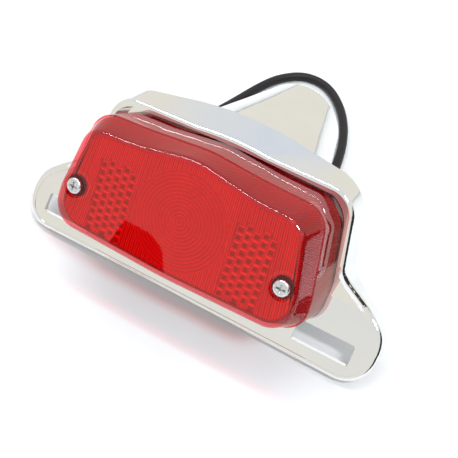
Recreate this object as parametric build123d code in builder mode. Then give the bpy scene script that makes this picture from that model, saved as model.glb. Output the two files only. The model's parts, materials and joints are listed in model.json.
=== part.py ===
"""Chrome motorcycle tail light with a red lens and number plate ears, lying on a table.

The lamp is drawn in its own upright directions (across, depth behind the lens face, height)
on planes that lean back by the angle at which the lamp rests on its ears and its foot.
"""

import os
from math import atan2, cos, pi, radians, sin, tan

from build123d import *

# ---- driving dimensions (mm) ----
screw_spacing = 107.0  # between the two lens screws
face_thickness = 3.0
lens_wall = 2.5
shoulder_depth = 13.0  # small step round the lens wall
shoulder_step = 0.5
lens_edge_radius = 3.5

rim_depth = 33.5  # front of the hood rim, behind the lens face
floor_depth = 39.6  # recess floor that the lens stands on
crease_height = -10.0  # below it the flange tilts forward
flange_tilt = 16.0
sheet = 2.5
rim_width = 3.0
rim_roll = 2.0  # rounding of the outer front edge
lip = 0.4  # height of the flange's raised border
back_depth = 46.0  # open back edge of the skirt
seal_thickness, seal_inset = 0.8, 4.0

pod_root_depth = 41.0
pod_root_width, pod_root_height, pod_root_centre = 50.0, 27.0, 13.5
pod_end_depth, pod_end_radius, pod_end_centre = 123.4, 27.0, 36.0
pod_wall, end_wall, pod_edge_radius = 2.5, 4.0, 1.5

slot_length, slot_height, slot_centre, slot_level, slot_corner = 29.0, 9.8, 73.5, -30.3, 1.2
bolt_circle, bolt_thread, bolt_boss, bolt_depth = 16.0, 2.5, 5.0, 11.0
bolt_angles = (90, 210, 330)
exit_level, exit_radius = 24.0, 5.0  # cable hole in the mounting face

bulb_level = 5.0
bulb_radius, base_radius, pin_radius, pin_reach = 12.5, 7.5, 1.0, 8.4
socket_bore, socket_radius = 7.75, 8.7
base_front, base_back = 32.0, 48.0
pin_depth = 41.0
press_travel, turn_travel = 2.0, 20.0
play = 0.3

plate_level = 11.5
plate_screw_spots = ((-32.5, 22), (32.5, 22), (-32.5, 1), (32.5, 1))
plate_screw_radius, plate_screw_head = 1.4, 2.6
screw_radius, screw_head, screw_head_height = 2.0, 3.9, 2.4
recess_radius, recess_depth = 5.75, 2.6
column_radius = 7.0
washer_radius, washer_thickness = 5.0, 1.0
screw_tip, screw_boss = 44.8, 4.5

cable_radius = 2.75
lead_radius = 1.0
table_gap = 0.1

# ---- outlines: right half from top to bottom, as (across, height, corner radius) ----
face_corners = [
    (0, 35.4, 50), (29, 29.6, 95), (53.7, 28.5, 11), (61.1, -2, 30), (61.6, -20.1, 12.5), (0, -22.0, 300),
]
shoulder_corners = [
    (0, 37.6, 60), (29, 35.2, 95), (57.6, 34.1, 12), (65.0, -6, 40), (65.3, -22.0, 11), (0, -23.6, 300),
]
foot_corners = [
    (0, 37.9, 60), (29, 36.0, 95), (58.9, 34.8, 17), (66.8, -4, 40), (67.1, -24.6, 8.5), (0, -25.6, 300),
]
back_corners = [
    (0, 53.7, 220), (64.7, 41.9, 21), (72.0, 4.4, 11), (99.8, -17.2, 16), (99.8, -44.3, 15),
]
rim_corners = [
    (0, 41.4, 600), (63.3, 38.6, 14), (70.7, 3.2, 12), (98.9, -17.9, 16), (98.9, -43.3, 15),
]

# ---- how the lamp rests: on the lower back edge of the ears and the lower edge of the foot ----
slope = tan(radians(flange_tilt))
heel_height = back_corners[-1][1] + 0.77 * (rim_corners[-1][1] - back_corners[-1][1])
heel_depth = back_depth + slope * (heel_height - crease_height)
toe_height = pod_end_centre - pod_end_radius
lean = atan2(toe_height - heel_height, pod_end_depth - heel_depth)
table_drop = heel_depth * sin(lean) - heel_height * cos(lean)
middle = 64.34  # from the lens face to the middle of the lamp's length on the table

across = (1, 0, 0)
inward = (0, cos(lean), -sin(lean))
lamp_origin = (0, -middle, table_drop)
front = Plane(origin=lamp_origin, x_dir=across, z_dir=(0, -cos(lean), sin(lean)))
side = Plane(origin=lamp_origin, x_dir=inward, z_dir=across)


def at_depth(depth):
    """Plane across the lamp: x across, y up the lamp."""
    return front.offset(-depth)


def spot(x, depth, height):
    """Point of the lamp in the table's frame."""
    return front.from_local_coords((x, height, -depth))


def depth_axis(x, height):
    return Axis(spot(x, 0, height), inward)


def mirrored(corners):
    """Both halves of an outline, from its right half's corners."""
    return corners + [(-x, z, r) for x, z, r in reversed(corners) if x]


def outline(plane, corners, inset=0.0):
    """Face inside a polygon with rounded corners, drawn smaller by the inset."""
    with BuildSketch(plane) as shape:
        with BuildLine():
            spots = [(x, z) for x, z, r in corners]
            FilletPolyline(*spots, radius=[r for x, z, r in corners], close=True)
        make_face()
        if inset:
            offset(amount=-inset)
    return shape.sketch


def bell(depth, inset=0.0):
    """Outline of the housing at a depth: the rim's outline flares towards the open back."""
    share = (depth - rim_depth) / (back_depth - rim_depth)
    corners = [
        tuple(a + share * (b - a) for a, b in zip(rim, back))
        for rim, back in zip(rim_corners, back_corners)
    ]
    return outline(at_depth(depth), mirrored(corners), inset)


def bar(x, height, radius, start, end, mode=Mode.ADD):
    """Round bar along the lamp's depth."""
    with BuildSketch(at_depth(start)) as shape:
        with Locations((x, height)):
            Circle(radius)
    extrude(shape.sketch, amount=start - end, mode=mode)


def slab(points, half_width, mode=Mode.ADD):
    """Prism across the lamp from a side profile of (depth, height) points."""
    with BuildSketch(side) as shape:
        with BuildLine():
            Polyline(*points, close=True)
        make_face()
    extrude(shape.sketch, amount=half_width, both=True, mode=mode)


def behind(depth, reach=80.0):
    """Side profile of everything behind the floor and flange, shifted to a floor depth."""
    low = crease_height - reach
    return [
        (depth - slope * reach, low), (depth, crease_height), (depth, reach), (depth + reach, reach),
        (depth + reach, low),
    ]


def tube(points, radius):
    """Round tube along straight runs joined by arcs as large as the runs allow."""
    runs = [Vector(*b) - Vector(*a) for a, b in zip(points, points[1:])]
    radii = [
        0.45 * min(p.length, q.length) / tan(radians(p.get_angle(q)) / 2)
        for p, q in zip(runs, runs[1:])
    ]
    with BuildPart() as result:
        with BuildLine() as path:
            FilletPolyline(*points, radius=radii)
        with BuildSketch(Plane(origin=points[0], z_dir=runs[0])):
            Circle(radius)
        sweep(path=path.line)
    length = path.wires()[0].length
    share = result.part.volume / (pi * radius**2 * length)
    print(f"tube length {length:.1f}, least radius {min(radii):.1f}, volume share {share:.4f}")
    return result.part


def finish(part, name):
    part.label = name
    export_step(part, f"parts/{name}.step")


os.makedirs("parts", exist_ok=True)

# ---- housing: hood, number plate ears, skirt and hollow foot in one casting ----
hollow_depth = floor_depth + sheet
reach = 120  # clear of the lamp on either side
loft_front, loft_back = rim_depth - 5, back_depth + 1
open_front = 20.0  # in front of the whole housing
cheek_height = 5.0  # the rim draws back from here to the crease
with BuildPart() as skirt_space:
    loft([bell(loft_front, sheet), bell(loft_back, sheet)], ruled=True)
    slab(behind(hollow_depth), reach, Mode.INTERSECT)

with BuildPart() as recess:
    extrude(outline(at_depth(open_front), mirrored(rim_corners), rim_width), amount=open_front - back_depth)
    slab(behind(floor_depth), reach, Mode.SUBTRACT)

with BuildPart() as pod_space:
    with BuildSketch(at_depth(pod_root_depth)):
        with Locations((0, pod_root_centre)):
            Ellipse(pod_root_width - pod_wall, pod_root_height - pod_wall)
    with BuildSketch(at_depth(pod_end_depth)):
        with Locations((0, pod_end_centre)):
            Circle(pod_end_radius - pod_wall)
    loft(ruled=True)
    hollow_end = pod_end_depth - end_wall
    slab(
        [(hollow_depth, -reach), (hollow_depth, reach), (hollow_end, reach), (hollow_end, -reach)],
        reach, Mode.INTERSECT,
    )

with BuildPart() as housing:
    loft([bell(loft_front), bell(loft_back)], ruled=True)
    slab(behind(back_depth), reach, Mode.SUBTRACT)
    with BuildSketch(side):
        with BuildLine():
            FilletPolyline(
                (0, reach), (rim_depth, reach), (rim_depth, cheek_height),
                (floor_depth - lip, crease_height),
                (floor_depth - lip - slope * reach, crease_height - reach), (0, crease_height - reach),
                radius=[0, 0, 12, 8, 0, 0], close=True,
            )
        make_face()
    extrude(amount=reach, both=True, mode=Mode.SUBTRACT)
    front_faces = housing.faces().filter_by(lambda f: f.normal_at().dot(front.z_dir) > 0.8)
    border = ShapeList(e for f in front_faces for e in f.edges())
    fillet([e for e in border if sum(e.is_same(o) for o in border) == 1], radius=rim_roll)
    add(skirt_space.part, mode=Mode.SUBTRACT)
    add(recess.part, mode=Mode.SUBTRACT)
    with BuildSketch(at_depth(pod_root_depth)):
        with Locations((0, pod_root_centre)):
            Ellipse(pod_root_width, pod_root_height)
    with BuildSketch(at_depth(pod_end_depth)):
        with Locations((0, pod_end_centre)):
            Circle(pod_end_radius)
    loft(ruled=True)
    fillet(housing.edges().sort_by(Axis(lamp_origin, inward))[-1:], radius=pod_edge_radius)
    add(pod_space.part, mode=Mode.SUBTRACT)
    with BuildSketch(at_depth(open_front)):
        with Locations((0, plate_level)):
            RectangleRounded(60, 32, 6)
    extrude(amount=open_front - hollow_depth - 0.5, mode=Mode.SUBTRACT)
    with BuildSketch(at_depth(open_front)):
        with Locations((-slot_centre, slot_level), (slot_centre, slot_level)):
            RectangleRounded(slot_length, slot_height, slot_corner)
    extrude(amount=open_front - loft_back, mode=Mode.SUBTRACT)
    for x in (-screw_spacing / 2, screw_spacing / 2):
        bar(x, 0, screw_boss, floor_depth, back_depth)
        bar(x, 0, screw_radius + 0.05, open_front, back_depth - 0.8, Mode.SUBTRACT)
    for x, height in plate_screw_spots:
        bar(x, height, plate_screw_radius, open_front, hollow_depth + 0.5, Mode.SUBTRACT)
    for angle in bolt_angles:
        x = bolt_circle * cos(radians(angle))
        height = pod_end_centre + bolt_circle * sin(radians(angle))
        bar(x, height, bolt_boss, pod_end_depth - bolt_depth, pod_end_depth - 1)
        bar(x, height, bolt_thread, pod_end_depth - bolt_depth + 1, pod_end_depth + 1, Mode.SUBTRACT)
    bar(0, exit_level, exit_radius, hollow_end - 2, pod_end_depth + 1, Mode.SUBTRACT)
finish(housing.part, "housing")

# ---- lens: thin red shell with two screw columns and a clear window below ----
lens_back = floor_depth - seal_thickness
with BuildPart() as lens_blank:
    loft(
        [
            outline(at_depth(0), mirrored(face_corners)),
            outline(at_depth(shoulder_depth), mirrored(shoulder_corners)),
        ],
        ruled=True,
    )
    fillet(lens_blank.faces().sort_by(Axis(lamp_origin, inward))[0].edges(), radius=lens_edge_radius)
    loft(
        [
            outline(at_depth(shoulder_depth), mirrored(shoulder_corners), -shoulder_step),
            outline(at_depth(floor_depth), mirrored(foot_corners)),
        ],
        ruled=True,
    )
    slab(behind(lens_back), reach, Mode.SUBTRACT)

with BuildPart() as lens_space:
    loft(
        [
            outline(at_depth(face_thickness), mirrored(face_corners), lens_wall),
            outline(at_depth(shoulder_depth), mirrored(shoulder_corners), lens_wall),
        ],
        ruled=True,
    )
    loft(
        [
            outline(at_depth(shoulder_depth), mirrored(shoulder_corners), lens_wall),
            outline(at_depth(floor_depth + 1), mirrored(foot_corners), lens_wall),
        ],
        ruled=True,
    )

window_front, window_back, window_half_width = 17.0, 30.0, 22.0
window_profile = [(window_front, -40), (window_back, -40), (window_back, -18), (window_front, -18)]
with BuildPart() as number_plate_window:
    add(lens_blank.part)
    slab(window_profile, window_half_width, Mode.INTERSECT)
    add(lens_space.part, mode=Mode.SUBTRACT)
finish(number_plate_window.part, "number_plate_window")

with BuildPart() as lens:
    add(lens_blank.part)
    add(lens_space.part, mode=Mode.SUBTRACT)
    slab(window_profile, window_half_width, Mode.SUBTRACT)
    for x in (-screw_spacing / 2, screw_spacing / 2):
        bar(x, 0, column_radius, face_thickness / 2, lens_back)
        bar(x, 0, recess_radius, -1, recess_depth, Mode.SUBTRACT)
        bar(x, 0, screw_radius + 0.4, 0, floor_depth + 1, Mode.SUBTRACT)
finish(lens.part, "lens")

with BuildPart() as lens_gasket:
    extrude(outline(at_depth(open_front), mirrored(foot_corners), 0.3), amount=open_front - back_depth)
    slab(behind(floor_depth), reach, Mode.SUBTRACT)
    slab(
        [
            (0, -reach), (0, reach), (lens_back, reach), (lens_back, crease_height),
            (lens_back - slope * 80, crease_height - 80),
        ],
        reach, Mode.SUBTRACT,
    )
    extrude(
        outline(at_depth(open_front), mirrored(foot_corners), seal_inset),
        amount=open_front - back_depth, mode=Mode.SUBTRACT,
    )
finish(lens_gasket.part, "lens_gasket")

# ---- lens screws with their sealing washers ----
washer_back = recess_depth - 0.05
head_seat = washer_back - washer_thickness - 0.1
for hand, x in (("left", -screw_spacing / 2), ("right", screw_spacing / 2)):
    with BuildPart() as screw_washer:
        bar(x, 0, washer_radius, washer_back - washer_thickness, washer_back)
        bar(x, 0, screw_radius + 0.3, 0, 5, Mode.SUBTRACT)
    finish(screw_washer.part, f"screw_washer_{hand}")

    with BuildPart() as lens_screw:
        bar(x, 0, screw_head, head_seat - screw_head_height, head_seat)
        fillet(lens_screw.edges().sort_by(Axis(lamp_origin, inward))[0], radius=1.3)
        bar(x, 0, screw_radius, head_seat, screw_tip - 1)
        with BuildSketch(at_depth(screw_tip - 1)):
            with Locations((x, 0)):
                Circle(screw_radius)
        with BuildSketch(at_depth(screw_tip)):
            with Locations((x, 0)):
                Circle(screw_radius - 0.7)
        loft()
        with BuildSketch(at_depth(head_seat - screw_head_height)):
            with Locations((x, 0)):
                Rectangle(4.4, 0.95)
                Rectangle(0.95, 4.4)
        with BuildSketch(at_depth(head_seat - screw_head_height + 1.9)):
            with Locations((x, 0)):
                Rectangle(1.8, 0.75)
                Rectangle(0.75, 1.8)
        loft(mode=Mode.SUBTRACT)
    finish(lens_screw.part, f"lens_screw_{hand}")

# ---- bulb plate, its screws, the socket and its rivets ----
plate_front = floor_depth - 1.2
rivet_spots, rivet_radius = (-11.2, 11.2), 1.2
with BuildPart() as bulb_plate:
    with BuildSketch(at_depth(plate_front)):
        with Locations((0, plate_level)):
            RectangleRounded(74, 40, 8)
        with Locations((0, bulb_level)):
            Circle(socket_radius, mode=Mode.SUBTRACT)
    extrude(amount=plate_front - floor_depth)
    for x in rivet_spots:
        bar(x, bulb_level, rivet_radius, open_front, back_depth, Mode.SUBTRACT)
    for x, height in plate_screw_spots:
        bar(x, height, plate_screw_radius, open_front, back_depth, Mode.SUBTRACT)
finish(bulb_plate.part, "bulb_plate")

with BuildPart() as plate_screws:
    for x, height in plate_screw_spots:
        bar(x, height, plate_screw_head, plate_front - 1.4, plate_front)
        bar(x, height, plate_screw_radius, plate_front, hollow_depth)
        with BuildSketch(at_depth(plate_front - 1.4)):
            with Locations((x, height)):
                Rectangle(3.0, 0.7)
                Rectangle(0.7, 3.0)
        extrude(amount=-0.7, mode=Mode.SUBTRACT)
finish(plate_screws.part, "plate_screws")

flange_front = plate_front - 0.8
socket_front, socket_back, socket_flange = 34.0, 61.2, 13.2
pin_middle = (socket_bore + socket_radius) / 2  # where a pin crosses the socket's wall
with BuildPart() as bulb_socket:
    bar(0, bulb_level, socket_radius, socket_front, socket_back)
    bar(0, bulb_level, socket_flange, flange_front, plate_front)
    bar(0, bulb_level, socket_bore, socket_front - 1, socket_back - 1.2, Mode.SUBTRACT)
    bar(0, bulb_level, 5.0, socket_back - 2, socket_back + 1, Mode.SUBTRACT)
    slot_width = 2 * pin_radius + 2 * play
    turn_rise = pin_middle * sin(radians(turn_travel))
    slot_front = pin_depth - pin_radius - play
    slot_back = pin_depth + press_travel + pin_radius + play
    for hand in (-1, 1):
        for start, shift, width in (
            (slot_front, hand * turn_rise / 2, turn_rise + slot_width),
            (socket_front - 1, hand * turn_rise, slot_width),
        ):
            with BuildSketch(at_depth(start)):
                with Locations((hand * socket_radius, bulb_level + shift)):
                    Rectangle(socket_radius, width)
            extrude(amount=start - slot_back, mode=Mode.SUBTRACT)
    for x in rivet_spots:
        bar(x, bulb_level, rivet_radius, open_front, back_depth, Mode.SUBTRACT)
finish(bulb_socket.part, "bulb_socket")

with BuildPart() as socket_rivets:
    for x in rivet_spots:
        bar(x, bulb_level, 1.9, flange_front - 0.8, flange_front)
        bar(x, bulb_level, rivet_radius, flange_front, floor_depth)
        bar(x, bulb_level, 1.8, floor_depth, floor_depth + 0.8)
finish(socket_rivets.part, "socket_rivets")

# ---- sprung contacts ----
disc_front, disc_back = base_back + 2.2, base_back + 4.6
plunger_spots = ((-3.2, bulb_level), (3.2, bulb_level))
plunger_radius, plunger_head = 1.5, 2.2
with BuildPart() as contact_disc:
    bar(0, bulb_level, socket_bore - play, disc_front, disc_back)
    for x, height in plunger_spots:
        bar(x, height, plunger_radius, disc_front - 1, disc_back + 1, Mode.SUBTRACT)
finish(contact_disc.part, "contact_disc")

with BuildPart() as contact_plungers:
    for x, height in plunger_spots:
        bar(x, height, plunger_head, disc_front - 0.8, disc_front)
        bar(x, height, plunger_radius, disc_front, disc_back + 1.4)
finish(contact_plungers.part, "contact_plungers")

spring_radius, spring_wire = 6.6, 0.8
with BuildPart() as contact_spring:
    bar(0, bulb_level, spring_radius, disc_back, socket_back - 1.2)
    bar(0, bulb_level, spring_radius - spring_wire, disc_back - 1, socket_back, Mode.SUBTRACT)
finish(contact_spring.part, "contact_spring")

# ---- bulb: bayonet base, glass and two filaments ----
pinch_radius, pinch_front, pinch_back = 6.2, base_front + 2.5, base_front + 5
glass_centre, glass_wall = 19.0, 0.9
with BuildPart() as bulb_base:
    bar(0, bulb_level, base_radius, base_front, base_back - 0.8)
    bar(0, bulb_level, pinch_radius, base_front - 1, pinch_back, Mode.SUBTRACT)
    for x, height in plunger_spots:
        bar(x, height, 1.9, base_back - 0.8, base_back)
    with BuildSketch(side.offset(-pin_reach)):
        with Locations((pin_depth, bulb_level)):
            Circle(pin_radius)
    extrude(amount=2 * pin_reach)
finish(bulb_base.part, "bulb_base")


def glass_profile(wall):
    """Half section of the bulb: a globe that draws in to a straight neck."""
    globe = bulb_radius - wall
    neck = pinch_radius - wall
    pinch = pinch_front if wall else pinch_back
    with BuildSketch(side) as half:
        with BuildLine():
            tip = (glass_centre - globe, bulb_level)
            belly = (glass_centre, bulb_level + globe)
            waist = (glass_centre + 5.5, bulb_level + globe - 1.6)
            shoulder = (base_front - 3, bulb_level + neck + 0.8)
            RadiusArc(tip, belly, globe)
            TangentArc(belly, waist, tangent=(1, 0))
            Polyline(
                waist, shoulder, (base_front, bulb_level + neck), (pinch, bulb_level + neck),
                (pinch, bulb_level), tip,
            )
        make_face()
    return half.sketch


with BuildPart() as bulb_glass:
    revolve(glass_profile(0), axis=depth_axis(0, bulb_level))
    revolve(glass_profile(glass_wall), axis=depth_axis(0, bulb_level), mode=Mode.SUBTRACT)
finish(bulb_glass.part, "bulb_glass")

with BuildPart() as bulb_filaments:
    for coil_depth, height in ((16.5, bulb_level + 2.2), (19.5, bulb_level - 2.2)):
        for x in (-3, 3):
            bar(x, height, 0.3, coil_depth, pinch_front)
        with BuildSketch(side.offset(-3.3)):
            with Locations((coil_depth, height)):
                Circle(0.45)
        extrude(amount=6.6)
finish(bulb_filaments.part, "bulb_filaments")

# ---- foot: rubber pad, grommet and the leads inside ----
pad_thickness, pad_radius, pad_bolt_hole, pad_cable_hole = 2.0, 25.0, 3.3, 7.6
with BuildPart() as mount_pad:
    bar(0, pod_end_centre, pad_radius, pod_end_depth, pod_end_depth + pad_thickness)
    for angle in bolt_angles:
        x = bolt_circle * cos(radians(angle))
        height = pod_end_centre + bolt_circle * sin(radians(angle))
        bar(x, height, pad_bolt_hole, pod_end_depth - 1, pod_end_depth + 5, Mode.SUBTRACT)
    bar(0, exit_level, pad_cable_hole, pod_end_depth - 1, pod_end_depth + 5, Mode.SUBTRACT)
finish(mount_pad.part, "mount_pad")

cable_exit = pod_end_depth + 7.6
collar = 1.5
grommet_back = hollow_end - collar
with BuildPart() as cable_grommet:
    bar(0, exit_level, 6.6, grommet_back, hollow_end)
    bar(0, exit_level, exit_radius, hollow_end, pod_end_depth)
    bar(0, exit_level, 7.2, pod_end_depth, pod_end_depth + collar)
    for depth, radius in ((pod_end_depth + collar, 4.8), (cable_exit, 3.3)):
        with BuildSketch(at_depth(depth)):
            with Locations((0, exit_level)):
                Circle(radius)
    loft()
finish(cable_grommet.part, "cable_grommet")

lead_start = disc_back + 1.4 + press_travel + 0.5
for name, x, height in (("tail_wire", -3.2, bulb_level), ("brake_wire", 3.2, bulb_level)):
    route = [
        spot(x, lead_start, height), spot(x, lead_start + 12, height),
        spot(x * 1.2, lead_start + 27, height + 4), spot(x * 0.9, lead_start + 42, height + 14),
        spot(x * 0.6, grommet_back - 8, exit_level), spot(x * 0.6, grommet_back, exit_level),
    ]
    finish(tube(route, lead_radius), name)

with BuildPart() as ground_terminal:
    with BuildSketch(at_depth(socket_back - 6)):
        with Locations((0, bulb_level + socket_radius + 0.4)):
            Rectangle(5, 0.8)
    extrude(amount=-9)
finish(ground_terminal.part, "ground_terminal")
ground_height = bulb_level + socket_radius + 0.8 + lead_radius
route = [
    spot(0, socket_back - 1, ground_height), spot(0, socket_back + 10, ground_height),
    spot(0.5, socket_back + 22, ground_height + 3), spot(0.3, grommet_back - 20, exit_level),
    spot(0, grommet_back - 8, exit_level + 2.6), spot(0, grommet_back, exit_level + 2.6),
]
finish(tube(route, lead_radius), "ground_wire")

# ---- cable: out of the foot, round under the lamp and back past the foot to three plugs ----
rest = cable_radius + table_gap
exit_point = spot(0, cable_exit, exit_level)
table_route = [
    (-1.6, 79.5), (-9, 88), (-19.9, 91.1), (-30.7, 87.8), (-38.1, 79), (-41, 65.2), (-41.5, 46.7),
    (-38, 27.7), (-29, 10.7), (-15, -2.3), (3, -6.3), (20, -0.3), (31.5, 13.7), (35.5, 30.7),
    (33, 45.7), (29, 58.7), (26.6, 72.7), (22.6, 88.7), (15.6, 105.7), (5, 121.7), (-10, 134.7),
    (-27, 135.7), (-40, 123.2), (-46.5, 106.7), (-51, 89.7), (-56, 72.7), (-62, 56.7),
    (-66.5, 40.7), (-68, 26.7),
]
touch_down = (0, 68.26, 4.06)  # on the hole's axis, just above the table
cable_route = [tuple(exit_point), touch_down] + [(x, y, rest) for x, y in table_route]
finish(tube(cable_route, cable_radius), "cable_sleeve")

sleeve_end = Vector(*cable_route[-1])
along = (sleeve_end - Vector(*cable_route[-2])).normalized()
beside = along.cross(Vector(0, 0, 1))
plug_height, plug_radius, plug_length = 2.3, 2.2, 12.0
pin_length, bullet_radius = 7.0, 1.9
lead_fans = {
    "tail_lead": (1.3, -0.85, (-74, 11.2), (-79, 2.7)),
    "brake_lead": (0.0, 1.25, (-69.8, 10.7), (-70.4, 1.7)),
    "ground_lead": (-1.3, -0.85, (-64.5, 11.2), (-61.5, 2.7)),
}
plug_planes = []
for name, (sideways, upward, bend, tip) in lead_fans.items():
    start = sleeve_end + beside * sideways + Vector(0, 0, upward)
    route = [start, start + along * 6.5, Vector(*bend, plug_height), Vector(*tip, plug_height)]
    finish(tube(route, lead_radius), name)
    plug_planes.append(Plane(origin=route[3], z_dir=route[3] - route[2], x_dir=(0, 0, 1)))

with BuildPart() as plug_sleeves:
    for plane in plug_planes:
        with BuildSketch(plane):
            Circle(plug_radius)
        extrude(amount=plug_length)
finish(plug_sleeves.part, "plug_sleeves")

with BuildPart() as bullet_plugs:
    for plane in plug_planes:
        with BuildSketch(plane.offset(plug_length)):
            Circle(bullet_radius)
        extrude(amount=pin_length)
        chamfer(bullet_plugs.faces().sort_by(Axis(plane.origin, plane.z_dir))[-1].edges(), length=0.8)
finish(bullet_plugs.part, "bullet_plugs")
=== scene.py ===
"""Looks of the motorcycle tail light: materials, the lens's moulded optics, cable and studio."""
import json
from math import cos, hypot, pi, sin

import bmesh
import bpy
from mathutils import Matrix, Vector


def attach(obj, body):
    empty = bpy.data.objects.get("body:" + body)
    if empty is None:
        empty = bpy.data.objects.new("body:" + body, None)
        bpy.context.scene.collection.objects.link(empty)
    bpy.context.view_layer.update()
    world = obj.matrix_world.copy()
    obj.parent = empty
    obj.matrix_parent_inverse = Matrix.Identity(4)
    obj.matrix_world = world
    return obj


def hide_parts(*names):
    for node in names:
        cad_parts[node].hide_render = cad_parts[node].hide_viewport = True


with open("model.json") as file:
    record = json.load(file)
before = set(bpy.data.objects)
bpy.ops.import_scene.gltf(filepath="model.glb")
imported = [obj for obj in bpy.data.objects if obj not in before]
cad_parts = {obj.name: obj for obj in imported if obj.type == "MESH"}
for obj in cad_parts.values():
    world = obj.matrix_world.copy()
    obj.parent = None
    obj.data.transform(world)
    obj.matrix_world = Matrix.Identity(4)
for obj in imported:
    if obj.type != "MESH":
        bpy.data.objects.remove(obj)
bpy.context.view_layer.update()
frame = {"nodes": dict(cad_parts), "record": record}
nodes = frame["nodes"]
MM = 0.001

# ---- the lamp's own directions, read from its joints ----
joints = {joint["name"]: joint for joint in frame["record"]["behaviour"]["joints"]}
ACROSS = Vector((1, 0, 0))
INWARD = Vector(joints["contact_press"]["axis"]).normalized()
UPWARD = (-INWARD).cross(ACROSS).normalized()
FACE = sum((Vector(joints[f"{hand}_screw_turn"]["pos_m"]) for hand in ("left", "right")), Vector()) / 2


def lamp(x, depth, height):
    """Point of the lamp: mm across, behind the lens face and up, in the row frame in metres."""
    return FACE + (ACROSS * x + INWARD * depth + UPWARD * height) * MM


# ---- materials ----
def new_material(name):
    material = bpy.data.materials.new(name)
    material.use_nodes = True
    tree = material.node_tree
    return material, tree, tree.nodes["Principled BSDF"]


def noise(tree, scale, detail=3.0, stretch=(1, 1, 1)):
    """Noise in object space, scale in features per metre."""
    place = tree.nodes.new("ShaderNodeTexCoord")
    mapping = tree.nodes.new("ShaderNodeMapping")
    mapping.inputs["Scale"].default_value = stretch
    texture = tree.nodes.new("ShaderNodeTexNoise")
    texture.inputs["Scale"].default_value = scale
    texture.inputs["Detail"].default_value = detail
    tree.links.new(place.outputs["Object"], mapping.inputs["Vector"])
    tree.links.new(mapping.outputs["Vector"], texture.inputs["Vector"])
    return texture.outputs["Fac"]


def ramp(tree, value, low, high):
    """Colours or greys from low to high along a 0 to 1 value."""
    node = tree.nodes.new("ShaderNodeValToRGB")
    node.color_ramp.elements[0].position = 0.3
    node.color_ramp.elements[1].position = 0.7
    node.color_ramp.elements[0].color = (*low, 1)
    node.color_ramp.elements[1].color = (*high, 1)
    tree.links.new(value, node.inputs["Fac"])
    return node.outputs["Color"]


def bump(tree, shader, value, distance, strength=1.0):
    node = tree.nodes.new("ShaderNodeBump")
    node.inputs["Distance"].default_value = distance
    node.inputs["Strength"].default_value = strength
    tree.links.new(value, node.inputs["Height"])
    tree.links.new(node.outputs["Normal"], shader.inputs["Normal"])


def surface(name, low, high, rough=(0.3, 0.4), scale=900, grain=0.0, stretch=(1, 1, 1), **values):
    """Principled material whose colour, roughness and optional bump (grain, in m) vary with one noise."""
    material, tree, shader = new_material(name)
    for socket, value in values.items():
        shader.inputs[socket.replace("_", " ")].default_value = value
    spots = noise(tree, scale, stretch=stretch)
    tree.links.new(ramp(tree, spots, low, high), shader.inputs["Base Color"])
    tree.links.new(ramp(tree, spots, [rough[0]] * 3, [rough[1]] * 3), shader.inputs["Roughness"])
    if grain:
        bump(tree, shader, spots, grain)
    return material


def clear_shell(name, low, high, scale=120):
    """Clear tinted shell: Fresnel mixes a mirror sheen over what shows through it."""
    material, tree, shader = new_material(name)
    tree.nodes.remove(shader)
    through = tree.nodes.new("ShaderNodeBsdfTransparent")
    sheen = tree.nodes.new("ShaderNodeBsdfGlossy")
    sheen.inputs["Roughness"].default_value = 0.02
    fresnel = tree.nodes.new("ShaderNodeFresnel")
    fresnel.inputs["IOR"].default_value = 1.62
    mix = tree.nodes.new("ShaderNodeMixShader")
    tree.links.new(ramp(tree, noise(tree, scale), low, high), through.inputs["Color"])
    side = tree.nodes.new("ShaderNodeNewGeometry")
    outside = tree.nodes.new("ShaderNodeMath")
    outside.operation = "SUBTRACT"
    outside.use_clamp = True
    tree.links.new(fresnel.outputs["Fac"], outside.inputs[0])
    tree.links.new(side.outputs["Backfacing"], outside.inputs[1])
    tree.links.new(outside.outputs["Value"], mix.inputs["Fac"])
    tree.links.new(through.outputs["BSDF"], mix.inputs[1])
    tree.links.new(sheen.outputs["BSDF"], mix.inputs[2])
    tree.links.new(mix.outputs["Shader"], tree.nodes["Material Output"].inputs["Surface"])
    return material


def optics_surface():
    """Moulded red acrylic, its red darkened and lightened by painted shading: painted light and shade on
    each prism, flute, ring and rib.
    """
    material, tree, shader = new_material("red_optics_painted_shading")
    painted_shading = tree.nodes.new("ShaderNodeAttribute")
    painted_shading.attribute_name = "painted_shading"
    painted_shading_colours = tree.nodes.new("ShaderNodeValToRGB")
    stops = painted_shading_colours.color_ramp.elements
    stops[0].position, stops[0].color = 0.0, (0.05, 0.003, 0.008, 1)
    stops[1].position, stops[1].color = 1.0, (1.0, 0.30, 0.22, 1)
    middle = stops.new(0.5)
    middle.color = (0.56, 0.050, 0.055, 1)
    tree.links.new(painted_shading.outputs["Fac"], painted_shading_colours.inputs["Fac"])
    tree.links.new(painted_shading_colours.outputs["Color"], shader.inputs["Base Color"])
    tree.links.new(ramp(tree, noise(tree, 400), [0.16] * 3, [0.26] * 3), shader.inputs["Roughness"])
    shader.inputs["IOR"].default_value = 1.35
    return material


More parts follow.
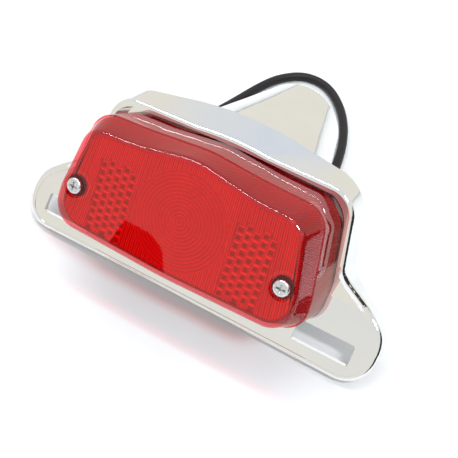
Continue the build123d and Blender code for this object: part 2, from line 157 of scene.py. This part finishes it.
chrome = surface("chrome", (0.85, 0.85, 0.84), (0.88, 0.88, 0.87), (0.02, 0.05), 60, Metallic=1.0)
red_cover = clear_shell("red_cover", (0.95, 0.30, 0.32), (0.96, 0.36, 0.38))
red_optics_painted_shading = optics_surface()
clear_plastic = clear_shell("clear_plastic", (0.95, 0.96, 0.96), (0.99, 0.99, 0.99))
glass = clear_shell("glass", (0.96, 0.97, 0.97), (0.99, 0.99, 0.99))
# black rubber with a red tint that is a painted reflection of the red lens round it
washer_rubber_painted_red_reflection = surface(
    "washer_rubber_painted_red_reflection", (0.030, 0.006, 0.006), (0.06, 0.012, 0.012), (0.5, 0.7), 2500, 0.00003
)
rubber = surface("rubber", (0.012, 0.012, 0.013), (0.03, 0.03, 0.032), (0.55, 0.75), 2500, 0.00003)
zinc = surface("zinc", (0.62, 0.66, 0.70), (0.78, 0.80, 0.80), (0.18, 0.34), 700, 0.00001, Metallic=1.0)
bright_plate = surface(
    "bright_plate", (0.76, 0.77, 0.78), (0.84, 0.85, 0.86), (0.12, 0.25), 400, Metallic=1.0
)
brass = surface("brass", (0.62, 0.43, 0.16), (0.78, 0.58, 0.26), (0.2, 0.38), 900, Metallic=1.0)
fibre = surface("fibre", (0.16, 0.07, 0.03), (0.26, 0.12, 0.06), (0.6, 0.8), 3000, 0.00004)
steel = surface("steel", (0.42, 0.43, 0.45), (0.55, 0.56, 0.58), (0.25, 0.4), 1500, Metallic=1.0)
cable_skin = surface(
    "cable_skin", (0.009, 0.007, 0.008), (0.017, 0.014, 0.015), (0.42, 0.56), 1400, 0.00004,
    Specular_IOR_Level=0.28,
)
brown_wire = surface("brown_wire", (0.12, 0.035, 0.012), (0.17, 0.055, 0.02), (0.3, 0.45), 1500)
red_wire = surface("red_wire", (0.40, 0.010, 0.010), (0.52, 0.02, 0.02), (0.3, 0.45), 1500)
black_wire = surface("black_wire", (0.012, 0.012, 0.012), (0.03, 0.03, 0.03), (0.3, 0.45), 1500)
milky = surface(
    "milky_sleeve", (0.72, 0.74, 0.74), (0.84, 0.86, 0.86), (0.25, 0.4), 900,
    Transmission_Weight=0.6, IOR=1.4,
)

FINISHES = {
    "housing": chrome, "lens": red_cover, "number_plate_window": clear_plastic,
    "lens_gasket": washer_rubber_painted_red_reflection, "screw_washer_left": washer_rubber_painted_red_reflection, "screw_washer_right": washer_rubber_painted_red_reflection,
    "lens_screw_left": zinc, "lens_screw_right": zinc,
    "bulb_plate": bright_plate, "plate_screws": zinc, "bulb_socket": zinc, "socket_rivets": brass,
    "contact_disc": fibre, "contact_plungers": brass, "contact_spring": steel, "bulb_base": brass,
    "bulb_glass": glass, "bulb_filaments": steel, "mount_pad": rubber, "cable_grommet": rubber,
    "tail_wire": brown_wire, "brake_wire": red_wire, "ground_wire": black_wire, "ground_terminal": brass,
    "cable_sleeve": cable_skin, "tail_lead": brown_wire, "brake_lead": red_wire, "ground_lead": black_wire,
    "plug_sleeves": milky, "bullet_plugs": brass,
}
for name, material in FINISHES.items():
    data = nodes[name].data
    data.materials.clear()
    data.materials.append(material)


def add_piece(name, data, material, body):
    piece = bpy.data.objects.new(name, data)
    bpy.context.scene.collection.objects.link(piece)
    data.materials.append(material)
    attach(piece, body)
    return piece


# ---- cable: the route's points as the control points of a smooth curve ----
CABLE_REST = 2.85
cable_route = [tuple(lamp(0, 131, 24) / MM), (0, 68.26, 4.06)] + [
    (x, y, CABLE_REST)
    for x, y in (
        (-1.6, 79.5), (-9, 88), (-19.9, 91.1), (-30.7, 87.8), (-38.1, 79), (-41, 65.2), (-41.5, 46.7),
        (-38, 27.7), (-29, 10.7), (-15, -2.3), (3, -6.3), (20, -0.3), (31.5, 13.7), (35.5, 30.7),
        (33, 45.7), (29, 58.7), (26.6, 72.7), (22.6, 88.7), (15.6, 105.7), (5, 121.7), (-10, 134.7),
        (-27, 135.7), (-40, 123.2), (-46.5, 106.7), (-51, 89.7), (-56, 72.7), (-62, 56.7), (-66.5, 40.7),
        (-68, 26.7),
    )
]


def wire(name, points, diameter, material):
    """Round wire along a NURBS curve through mm points."""
    data = bpy.data.curves.new(name, "CURVE")
    data.dimensions = "3D"
    spline = data.splines.new("NURBS")
    spline.points.add(len(points) - 1)
    for control, point in zip(spline.points, points):
        control.co = (*(Vector(point) * MM), 1)
    spline.order_u = 3
    spline.use_endpoint_u = True
    spline.resolution_u = 8
    data.bevel_depth = diameter * MM / 2
    data.bevel_resolution = 6
    data.use_fill_caps = True
    return add_piece(name, data, material, "root")


cable = wire("lamp_cable", cable_route, 5.5, cable_skin)
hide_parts("cable_sleeve")

# ---- lens optics: flutes, a round prism lens and two reflex panels moulded behind the clear red face ----
# the lens's outlines at three depths: corners across and up, each with its rounding, in mm
FACE_CORNERS = (
    (0, 35.4, 50), (29, 29.6, 95), (53.7, 28.5, 11), (61.1, -2, 30), (61.6, -20.1, 12.5), (0, -22.0, 300),
)
SHOULDER_CORNERS = (
    (0, 37.6, 60), (29, 35.2, 95), (57.6, 34.1, 12), (65.0, -6, 40), (65.3, -22.0, 11), (0, -23.6, 300),
)
FOOT_CORNERS = (
    (0, 37.9, 60), (29, 36.0, 95), (58.9, 34.8, 17), (66.8, -4, 40), (67.1, -24.6, 8.5), (0, -25.6, 300),
)
ARC_STEPS = 24


def rounded(corners):
    """Closed outline through both halves of a mirrored polygon with rounded corners, in mm."""
    points = [Vector((x, z)) for x, z, r in corners]
    points += [Vector((-x, z)) for x, z, r in reversed(corners) if x]
    radii = [r for x, z, r in corners] + [r for x, z, r in reversed(corners) if x]
    path = []
    for i, (corner, radius) in enumerate(zip(points, radii)):
        back = (points[i - 1] - corner).normalized()
        on = (points[(i + 1) % len(points)] - corner).normalized()
        half = back.angle(on) / 2
        centre = corner + (back + on).normalized() * radius / sin(half)
        reach = radius * cos(half) / sin(half)
        start = (corner + back * reach - centre).normalized()
        end = (corner + on * reach - centre).normalized()
        for step in range(ARC_STEPS + 1):
            path.append(centre + start.slerp(end, step / ARC_STEPS) * radius)
    return path


def resampled(path, count):
    """The closed path at count evenly spaced places, with the outward normal at each."""
    closed = path + path[:1]
    marks = [0.0]
    for a, b in zip(closed, closed[1:]):
        marks.append(marks[-1] + (b - a).length)
    result, k = [], 0
    for i in range(count):
        here = marks[-1] * i / count
        while marks[k + 1] < here:
            k += 1
        run = closed[k + 1] - closed[k]
        spot = closed[k] + run * ((here - marks[k]) / run.length)
        result.append((spot, Vector((-run.y, run.x)).normalized()))
    return result


def loop_mesh(name, rings, left_open):
    """Mesh skinned over rings of equal numbers of points, open where left_open holds for a face's centre."""
    mesh = bmesh.new()
    rows = [[mesh.verts.new(point) for point in ring] for ring in rings]
    for low, high in zip(rows, rows[1:]):
        for i in range(len(low)):
            j = (i + 1) % len(low)
            corners = (low[i], low[j], high[j], high[i])
            if not left_open(sum((vertex.co for vertex in corners), Vector()) / 4):
                mesh.faces.new(corners)
    bmesh.ops.recalc_face_normals(mesh, faces=mesh.faces)
    data = bpy.data.meshes.new(name)
    mesh.to_mesh(data)
    mesh.free()
    return data


FLUTE_PITCH, FLUTE_DEPTH = 1.15, 0.28
RING_CENTRE, RING_REACH, RING_PITCH, RING_DEPTH = 5.0, 23.5, 1.7, 0.3
PRISM_PITCH, PRISM_DEPTH, PRISM_SHADED_HEART = 3.9, 0.95, 0.52  # each prism has painted shade at its heart
PANEL_START, PANEL_COLUMNS, PANEL_LOW, PANEL_ROWS = 25.5, 5, -18.5, 10
OPTICS_BASE = 4.3  # the reliefs reach forward from here to just behind the clear face
SHAFT_GAP = 2.7  # radius left open round each screw's shaft
SCREW_X = joints["right_screw_turn"]["pos_m"][0] / MM


def relief(x, height, flute):
    """How far the optics stand forward of their base, in mm, and their painted shading from dark to bright:
    painted light and shade on the ring steps, prism facets and flute flanks.
    """
    radius = hypot(x, height - RING_CENTRE)
    if radius < RING_REACH:
        step = (radius / RING_PITCH) % 1
        # painted shade at the inner edge of each ring step, painted light at its outer edge
        return 0.75 + RING_DEPTH * step, 0.40 + 0.20 * step
    column = (abs(x) - PANEL_START) / PRISM_PITCH
    row = (height - PANEL_LOW) / PRISM_PITCH
    shift = 0.5 * (int(column) % 2)
    if 0 <= column < PANEL_COLUMNS and shift <= row < PANEL_ROWS - 1 + shift:
        a, b = 2 * (column % 1) - 1, 2 * ((row - shift) % 1) - 1
        out = max(abs(a), abs(b))
        # painted shading per facet: brightest on the upper facet, then the inner, lower and outer facets,
        # painted shade at the heart
        painted_facet_shading = 0.52 + (0.16 * (b > 0) if abs(b) > abs(a) else 0.12 * (a < 0) - 0.06)
        return PRISM_DEPTH * (1 - out) + 0.2, 0.24 if out < PRISM_SHADED_HEART else painted_facet_shading
    flank = (flute / FLUTE_PITCH) % 1
    # painted light on one flank of each flute, painted shade on the other
    return 0.75 + FLUTE_DEPTH * sin(pi * flank), 0.34 + 0.32 * (flank > 0.5)


WALL = 2.6
face_path = rounded(FACE_CORNERS)
inner_edge = [spot - normal * WALL for spot, normal in resampled(face_path, 900)]


def crossing(x, upper):
    """Height of the inner edge above or below a place across the lamp."""
    x = abs(x)
    found = []
    for a, b in zip(inner_edge, inner_edge[1:] + inner_edge[:1]):
        if (a.x - x) * (b.x - x) <= 0 and a.x != b.x:
            found.append(a.y + (b.y - a.y) * (x - a.x) / (b.x - a.x))
    return max(found) if upper else min(found)


COLUMNS, ROWS = 460, 130
widest = max(point.x for point in inner_edge) - 0.02
mesh = bmesh.new()
# painted light and shade of the optics, kept per vertex
painted_shading_layer = mesh.verts.layers.float.new("painted_shading")
grid = []
for i in range(COLUMNS + 1):
    share = 2 * i / COLUMNS - 1
    foot_x = widest * share
    top_x = foot_x * (1 - 0.1 * (1 - (1 - abs(share)) ** 3))
    top, bottom = crossing(top_x, True), crossing(foot_x, False)
    column = []
    for k in range(ROWS + 1):
        height = bottom + (top - bottom) * k / ROWS
        x = foot_x + (top_x - foot_x) * k / ROWS
        forward, painted_shading = relief(x, height, foot_x)
        vertex = mesh.verts.new(lamp(x, OPTICS_BASE - forward, height))
        vertex[painted_shading_layer] = painted_shading
        column.append(vertex)
    grid.append(column)
for left, right in zip(grid, grid[1:]):
    for k in range(ROWS):
        corners = (left[k], right[k], right[k + 1], left[k + 1])
        middle = sum((vertex.co for vertex in corners), Vector()) / 4 - FACE
        across, height = middle.x / MM, middle.dot(UPWARD) / MM
        if min(hypot(across - side * SCREW_X, height) for side in (-1, 1)) > SHAFT_GAP:
            mesh.faces.new(corners)
bmesh.ops.delete(mesh, geom=[vertex for vertex in mesh.verts if not vertex.link_faces], context="VERTS")
data = bpy.data.meshes.new("lens_optics")
mesh.to_mesh(data)
mesh.free()
add_piece("lens_optics", data, red_optics_painted_shading, "root")

# ---- ribbed lining of the lens's side walls ----
RIB_COUNT, RIB_DEPTH = 300, 0.16
stations = RIB_COUNT * 4
EDGE_INSET = 0.7  # the lining stands just inside the clear wall's outer face
WINDOW_NEAR, WINDOW_FAR, WINDOW_HALF = 16.8, 30.2, 22.2  # left open for the number plate window


def between(share):
    """Corners of the outline part of the way from the shoulder to the foot."""
    return [
        tuple(a + share * (b - a) for a, b in zip(near, far))
        for near, far in zip(SHOULDER_CORNERS, FOOT_CORNERS)
    ]


# depth, outline, inset from it and painted shading of each ring: painted shade darkening the side walls
levels = (
    (3.4, FACE_CORNERS, WALL, 0.30), (4.6, FACE_CORNERS, EDGE_INSET, 0.07),
    (12.7, SHOULDER_CORNERS, EDGE_INSET, 0.14),
    (13.3, SHOULDER_CORNERS, EDGE_INSET, 0.10), (WINDOW_NEAR, between(0.14), EDGE_INSET, 0.10),
    (WINDOW_FAR, between(0.67), EDGE_INSET, 0.10), (38.6, FOOT_CORNERS, EDGE_INSET, 0.22),
)
rings = []
for depth, corners, inset, _ in levels:
    ring = []
    for i, (spot, normal) in enumerate(resampled(rounded(corners), stations)):
        edge = spot - normal * (inset + RIB_DEPTH * (0.5 - 0.5 * cos(2 * pi * i / 4)))
        ring.append(lamp(edge.x, depth, edge.y))
    rings.append(ring)


def over_window(middle):
    """Whether a face's centre lies over the number plate window."""
    off = middle - FACE
    depth, height = off.dot(INWARD) / MM, off.dot(UPWARD) / MM
    return WINDOW_NEAR < depth < WINDOW_FAR and height < 0 and abs(off.x) / MM < WINDOW_HALF


data = loop_mesh("lens_lining", rings, over_window)
painted_shading_attribute = data.attributes.new("painted_shading", "FLOAT", "POINT")
# the crest and one flank of each rib get painted light, the other flank and the valley painted shade
painted_shading_attribute.data.foreach_set("value", [painted_shading + 0.14 * (i % 4 < 2) for *_, painted_shading in levels for i in range(stations)])
add_piece("lens_lining", data, red_optics_painted_shading, "root")

# ---- studio: pale floor, soft lights and cards for the chrome to reflect ----
floor_material = surface("floor", (0.64, 0.66, 0.68), (0.66, 0.68, 0.70), (0.5, 0.6), 30)
bpy.ops.mesh.primitive_plane_add(size=6)
floor = bpy.context.object
floor.name = "studio_floor"
floor.data.materials.append(floor_material)

world = bpy.data.worlds.new("studio")
bpy.context.scene.world = world
world.use_nodes = True
tree = world.node_tree
direction = tree.nodes.new("ShaderNodeTexCoord")
split = tree.nodes.new("ShaderNodeSeparateXYZ")
sky = tree.nodes.new("ShaderNodeValToRGB")
sky.color_ramp.elements[0].position = 0.5
sky.color_ramp.elements[0].color = (0.94, 0.91, 0.83, 1)
sky.color_ramp.elements[1].position = 0.85
sky.color_ramp.elements[1].color = (0.82, 0.87, 0.95, 1)
tree.links.new(direction.outputs["Generated"], split.inputs["Vector"])
tree.links.new(split.outputs["Z"], sky.inputs["Fac"])
tree.links.new(sky.outputs["Color"], tree.nodes["Background"].inputs["Color"])
tree.nodes["Background"].inputs["Strength"].default_value = 0.92


def add_light(name, place, target, size, power, mirrored=False):
    data = bpy.data.lights.new(name, "AREA")
    data.shape = "RECTANGLE"
    data.size, data.size_y = size
    data.energy = power
    light = bpy.data.objects.new(name, data)
    light.visible_glossy = mirrored
    bpy.context.scene.collection.objects.link(light)
    light.location = place
    back = (Vector(place) - Vector(target)).normalized()
    side = (ACROSS - back * back.dot(ACROSS)).normalized()
    light.rotation_euler = Matrix((side, back.cross(side), back)).transposed().to_euler()


add_light("key", (0.42, -0.25, 0.85), (0, 0, 0.03), (0.22, 0.12), 4.5, mirrored=True)
add_light("strip", (-0.22, 0.10, 0.83), (0, 0, 0.03), (0.7, 0.05), 2.6, mirrored=True)
add_light("fill", (-0.8, -0.5, 0.8), (0, 0, 0.03), (0.9, 0.6), 3.5)
add_light("back", (-0.1, 0.9, 0.8), (0, 0, 0.03), (1.2, 0.5), 4)


def card(name, corners, shade):
    """Flat studio card that only shows in glossy surfaces."""
    data = bpy.data.meshes.new(name)
    data.from_pydata(corners, [], [range(len(corners))])
    data.materials.append(surface(name, [shade] * 3, [shade * 1.1] * 3, (0.8, 0.9), 5))
    piece = bpy.data.objects.new(name, data)
    bpy.context.scene.collection.objects.link(piece)
    piece.visible_camera = piece.visible_diffuse = piece.visible_shadow = piece.visible_transmission = False


# ---- camera, placed in the lamp's own directions ----
camera_data = bpy.data.cameras.new("camera")
camera_data.lens = 55.02
camera_data.sensor_width = 36
camera_data.clip_start = 0.01
camera = bpy.data.objects.new("camera", camera_data)
bpy.context.scene.collection.objects.link(camera)


def turned(x, depth, height):
    """Direction of the lamp in the row frame."""
    return ACROSS * x + INWARD * depth + UPWARD * height


right = turned(0.8617, 0.4056, 0.3048).normalized()
forward = turned(-0.2931, 0.8883, -0.3536).normalized()
top_side = right.cross(forward).normalized()
turn = Matrix((right, top_side, -forward)).transposed().to_4x4()
camera.matrix_world = Matrix.Translation(lamp(109.3, -259.5, 117.1)) @ turn
bpy.context.scene.camera = camera

# ---- dark cards: one mirrored low in the lens face, one beside the right ear ----
CARD_DISTANCE = 0.5
EYE = camera.matrix_world.translation
corners = []
for x, height in ((-24, -3.8), (-10.4, -4.3), (-4, -7.5), (-1.8, -10.3), (2.5, -21), (-30, -21)):
    place = lamp(x, 0, height)
    corners.append(place + (place - EYE).normalized().reflect(-INWARD) * CARD_DISTANCE)
card("face_card", corners, 0.01)
card("side_card", [(0.4, -0.45, 0.0), (0.4, 0.15, 0.0), (0.4, 0.15, 0.26), (0.4, -0.45, 0.26)], 0.01)
bpy.context.scene.view_settings.view_transform = "Standard"
